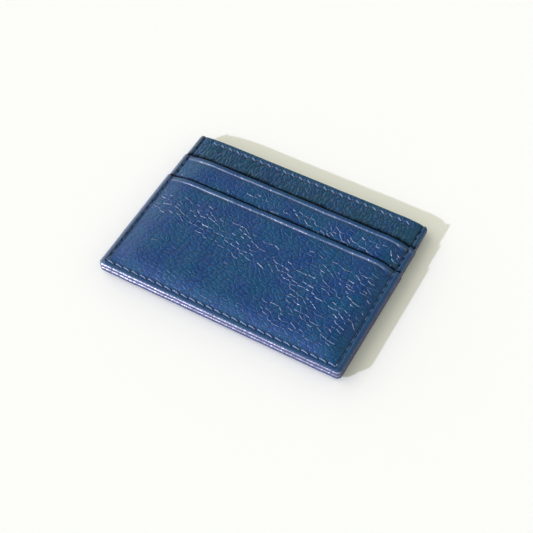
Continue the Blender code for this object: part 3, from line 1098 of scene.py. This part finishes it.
def stack_outer(half, x, y):
    """The level of the outermost leather at a place in the sewn margin."""
    body = sheet_span(half, "body_panel")[1]
    upper = sheet_span(half, "upper_pocket")[1]
    lower = sheet_span(half, "lower_pocket")[1]
    high = body + (upper - body) * fade(UPPER_LIP + 0.45 * MM - y, 0.5)
    high += (lower - upper) * fade(LOWER_LIP + 0.45 * MM - y, 0.5)
    return high + RISES[half](x, y) + shown_extra(x, y)


def unit(rows):
    return rows / np.linalg.norm(rows, axis=1)[:, None]


BEAD_RING = 25
BEAD_START = -0.12 * MM
BEAD_SHOULDER = 0.60 * MM


def bead(half, surface):
    """The painted edge of a half: a rounded ridge around the outline, uneven as brushed paint is."""
    x, y, real_x, real_y = outline_path(0.5 * MM)
    path = np.stack([real_x, real_y], 1)
    along = unit(unit(np.roll(path, -1, 0) - path) + unit(path - np.roll(path, 1, 0)))
    outward = np.stack([along[:, 1], -along[:, 0]], 1)
    low = sheet_span(half, "body_lining")[0] + RISES[half](x, y)
    thick = stack_outer(half, x, y) - 0.75 * EDGE_DROP - low
    brushed = 1.0 + 0.05 * waves(x, y, 9.0 * MM, 3) + 0.03 * waves(x, y, 3.0 * MM, 4)
    span = BEAD_OUT + 0.04 * MM - BEAD_START
    # front_facing keeps the painted highlight mostly on the bead's front, which faces the light.
    front_facing = 0.22 + 0.78 * smooth(-outward[:, 1] / 0.8)
    rings = []
    ridge_highlight = []
    for number in range(BEAD_RING):
        t = 0.5 - 0.5 * math.cos(math.pi * number / (BEAD_RING - 1.0))
        depth = np.minimum(t, 1.0 - t) * thick
        bulge = 1.0 - (1.0 - clamp(depth / BEAD_SHOULDER)) ** 1.35
        groove = 0.05 * MM * bell(t - 0.55, 0.10)
        out = np.minimum(BEAD_START + span * bulge * brushed, BEAD_OUT + 0.05 * MM) - groove
        up = MIDDLE + SIDES[half] * (low + thick * t)
        rings.append(np.column_stack([path + outward * out[:, None], up]))
        # Painted highlight lines at the bead's shoulders.
        from_upper = ((1.0 - t) if half == "front" else t) * thick
        line = bell(from_upper - 0.26 * MM, 0.18 * MM) + 0.35 * bell(from_upper - 0.95 * MM, 0.12 * MM)
        ridge_highlight.append(line * front_facing)
    rings.append(np.column_stack([path - outward * 0.35 * MM, MIDDLE + SIDES[half] * low]))
    ridge_highlight.append(0.0 * x)

    number = np.arange(len(path) * len(rings)).reshape(len(path), len(rings))
    wrapped = np.pad(number, ((0, 1), (0, 1)), "wrap")
    faces = [(a, d, c, b) for a, b, c, d in quads(wrapped)]
    if half == "back":
        faces = [face[::-1] for face in faces]
    mesh = new_mesh(f"{half}_edge", np.stack(rings, 1).reshape(-1, 3).tolist(), faces)
    write_values(mesh, "ridge_highlight", np.stack(ridge_highlight, 1).ravel())
    made = add_object(f"{half}_painted_edge", mesh, surface)
    stand_in(made, f"{half}_edge_paint", half, "body")


def tube(name, points, radius, surface):
    """A round thread through a list of points, as a closed mesh."""
    data = bpy.data.curves.new(name, "CURVE")
    data.dimensions = "3D"
    data.bevel_depth = radius
    data.bevel_resolution = 2
    data.use_fill_caps = True
    line = data.splines.new("POLY")
    line.points.add(len(points) - 1)
    for point, place in zip(line.points, points):
        point.co = (*place, 1.0)
    curve = bpy.data.objects.new(name, data)
    bpy.context.scene.collection.objects.link(curve)
    bpy.context.view_layer.update()
    mesh = bpy.data.meshes.new_from_object(curve.evaluated_get(bpy.context.evaluated_depsgraph_get()))
    bpy.data.objects.remove(curve)
    mesh.shade_smooth()
    return add_object(name, mesh, surface)


# A stitch from hole to hole: a share of its length, and its lift in mm over the leather
ARCH = (
    (-0.10, -0.50), (0.0, -0.22), (0.10, 0.04), (0.26, 0.17), (0.50, 0.21),
    (0.74, 0.17), (0.90, 0.04), (1.0, -0.22), (1.10, -0.50),
)
SIDE_SUNK = 0.56 * MM


def thread_row(name, half, row, sunk, surface):
    """A continuous thread: each stitch comes up, lies in its channel, dives, and runs on to the next one.

    It lies deeper in the upright runs of the perimeter, where its colour is also darkened as painted shade
    of the groove.
    """
    x, y = np.array([start + (end - start) * share for start, end in row for share, _ in ARCH]).T
    lifts = np.array([lift for _, lift in ARCH] * len(row)) * MM
    up = stack_outer(half, x, y) - sunk - SIDE_SUNK * side_row(x, y) + lifts
    made = tube(name, np.stack([x, y, MIDDLE + SIDES[half] * up], 1).tolist(), THREAD, surface)
    write_values(made.data, "groove_shade", side_row(*vertex_places(made.data).T[:2]))
    return made


def seam_row(name, half, node, surface):
    """One thread of the perimeter seam, sewn through the whole holder."""
    made = thread_row(name, half, SEAM_STITCHES, 0.12 * MM, surface)
    stand_in(made, node)


def top_row(half, surface):
    """The row along the top edge of a half."""
    made = thread_row(f"{half}_top_row", half, TOP_STITCHES, 0.02 * MM, surface)
    stand_in(made, f"{half}_top_thread", half, "body")


def base_row(half, surface):
    """The hidden row that closes the upper pocket: a plain thread along the middle of its leather."""
    low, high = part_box(f"{half}_pocket_base_thread")
    inner, outer = sheet_span(half, "upper_pocket")
    x = spread(low.x, high.x, 2.0 * MM)
    y = np.full_like(x, (low.y + high.y) / 2.0)
    up = 0.5 * (inner + outer) + RISES[half](x, y)
    points = np.stack([x, y, MIDDLE + SIDES[half] * up], 1).tolist()
    made = tube(f"{half}_base_row", points, 0.13 * MM, surface)
    stand_in(made, f"{half}_pocket_base_thread")


# ---- stage, light and camera

AZIMUTH = 32.81
ELEVATION = 54.37
ROLL = -3.79
DISTANCE = 0.4321
LENS = 79.25
AIM = Vector((3.66 * MM, -5.61 * MM, 0.40 * MM))
FILL_FAR = (0.70, 0.70, 0.585, 1.0)
FILL_NEAR = (1.78, 1.78, 1.54, 1.0)
SUN_TRAVEL = 55.0
SUN_ELEVATION = 23.0


def build_stage():
    """A plain pale floor, just under the holder."""
    surface, graph, inputs = new_material("pale_floor")
    graph.feed(inputs["Base Color"], (0.90, 0.905, 0.895, 1.0))
    graph.feed(inputs["Roughness"], 0.85)
    graph.feed(inputs["Specular IOR Level"], 0.2)
    low, high = -3.0, 3.0
    corners = [(low, low, 0.0), (high, low, 0.0), (high, high, 0.0), (low, high, 0.0)]
    floor = add_object("floor", new_mesh("floor", corners, [(0, 1, 2, 3)]), surface)
    floor.location.z = cad_bounds[0][2] - 0.02 * MM


def build_light():
    """A low key light from the front left, a bright window on the left and a dark flag at the back."""
    bpy.context.scene.view_settings.view_transform = "Standard"
    travel = math.radians(SUN_TRAVEL)
    rise = math.radians(SUN_ELEVATION)
    ray = Vector((math.cos(travel) * math.cos(rise), math.sin(travel) * math.cos(rise), -math.sin(rise)))
    data = bpy.data.lights.new("key", "SUN")
    data.energy = 3.0
    data.angle = math.radians(2.0)
    data.color = (0.755, 0.755, 1.0)
    key = bpy.data.objects.new("key", data)
    key.rotation_euler = ray.to_track_quat("-Z", "Y").to_euler()
    bpy.context.scene.collection.objects.link(key)
    world = bpy.data.worlds.new("studio")
    world.use_nodes = True
    graph = Graph(world.node_tree)
    looked = graph.add("ShaderNodeTexCoord").outputs["Generated"]

    def toward(direction, low, high):
        return graph.ramp(graph.dot(looked, Vector(direction).normalized()), low, high)

    window = toward((-0.90, 0.10, 0.40), 0.35, 0.95)
    flag = toward((-0.12, 0.52, 0.845), math.cos(math.radians(38.0)), math.cos(math.radians(13.0)))
    colour = graph.mix_colour(window, FILL_FAR, FILL_NEAR)
    colour = graph.mix_colour(graph.times(flag, 0.95), colour, (0.0, 0.0, 0.0, 1.0))
    back = world.node_tree.nodes["Background"]
    graph.feed(back.inputs["Color"], colour)
    back.inputs["Strength"].default_value = 1.0
    bpy.context.scene.world = world


def build_camera():
    """The camera looks down at the holder from the front right, a little rolled."""
    azimuth, elevation, roll = (math.radians(v) for v in (AZIMUTH, ELEVATION, ROLL))
    back = Vector((
        math.sin(azimuth) * math.cos(elevation),
        -math.cos(azimuth) * math.cos(elevation),
        math.sin(elevation),
    ))
    right = (-back).cross(UP).normalized()
    up = right.cross(-back)
    turned_right = math.cos(roll) * right + math.sin(roll) * up
    turned_up = -math.sin(roll) * right + math.cos(roll) * up
    data = bpy.data.cameras.new("camera")
    data.lens = LENS
    data.sensor_width = 36.0
    data.clip_start = 0.01
    camera = bpy.data.objects.new("camera", data)
    turn = Matrix((turned_right, turned_up, back)).transposed().to_4x4()
    camera.matrix_world = Matrix.Translation(AIM + back * DISTANCE) @ turn
    bpy.context.scene.collection.objects.link(camera)
    bpy.context.scene.camera = camera


# ---- build

lining = lining_material()
board = board_material()
paint = paint_material()
thread = thread_material()

for half in ("front", "back"):
    for part in ("body", "upper", "lower"):
        leather_sheet(half, part)
        lining_sheet(half, part, lining)
    board_sheet(half, board)
    bead(half, paint)
    top_row(half, thread)
    base_row(half, thread)
seam_row("front_seam_row", "front", "seam_needle_thread", thread)
seam_row("back_seam_row", "back", "seam_bobbin_thread", thread)

build_stage()
build_light()
build_camera()
